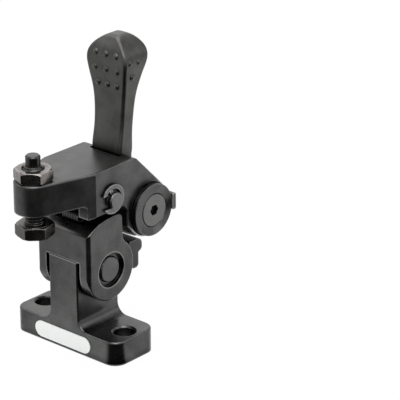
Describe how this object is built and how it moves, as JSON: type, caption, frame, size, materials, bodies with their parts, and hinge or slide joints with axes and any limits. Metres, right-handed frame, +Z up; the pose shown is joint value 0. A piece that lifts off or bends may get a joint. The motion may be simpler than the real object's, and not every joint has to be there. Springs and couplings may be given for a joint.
{
  "type": "cam clamp",
  "caption": "Workholding clamp: a base with a post, a swinging link, an arm with an adjusting bolt, and a studded cam lever.",
  "frame": {"origin": "middle of the base's underside, between the two mounting holes", "axes": "+X along the base and all hinge axes, -Y towards the workpiece, +Z up"},
  "size_m": [0.042, 0.0541, 0.0923],
  "materials": {
    "black_casting": "black oxide over a fine cast and ground surface, satin",
    "black_steel": "black oxide over turned or milled steel",
    "spring_wire": "drawn and pressed spring steel, dark",
    "bush_bronze": "sintered bronze, plain",
    "label_face": "white enamel, bare"
  },
  "bodies": {
    "base": {"base_post": "black_casting", "cam_anvil": "black_steel", "anvil_rivets": "black_steel", "label_plate": "label_face"},
    "link": {"swing_link": "black_casting", "link_pin": "black_steel", "arm_spring": "spring_wire"},
    "arm": {"clamp_arm": "black_casting", "arm_pin": "black_steel", "arm_pin_clip_right": "spring_wire", "arm_pin_clip_left": "spring_wire", "shaft_bush_right": "bush_bronze", "shaft_bush_left": "bush_bronze", "lever_spring": "spring_wire"},
    "lever": {"cam_lever": "black_casting", "cam_shaft": "black_steel", "shaft_washer": "black_steel", "shaft_screw": "black_steel", "lever_dowel": "black_steel"},
    "nut": {"lock_nut": "black_steel"},
    "bolt": {"adjusting_bolt": "black_steel"}
  },
  "joints": [
    {"name": "link_swing", "type": "hinge", "parent": "base", "child": "link", "pos_m": [0, 0.00095, 0.0252], "axis": [-1, 0, 0], "range_deg": [0, 15]},
    {"name": "arm_turn", "type": "hinge", "parent": "link", "child": "arm", "pos_m": [0, 0.00203, 0.04725], "axis": [-1, 0, 0], "range_deg": [-15, 0]},
    {"name": "cam_turn", "type": "hinge", "parent": "arm", "child": "lever", "pos_m": [0, 0.01755, 0.0396], "axis": [-1, 0, 0], "range_deg": [0, 95]},
    {"name": "nut_turn", "type": "hinge", "parent": "arm", "child": "nut", "pos_m": [0, -0.0196, 0.0563], "axis": [0, 0, 1], "continuous": true},
    {"name": "bolt_travel", "type": "slide", "parent": "arm", "child": "bolt", "axis": [0, 0, 1], "range_m": [-0.003, 0.002]}
  ],
  "couplings": [
    {"joint": "arm_turn", "follows": "link_swing", "ratio": -1}
  ]
}
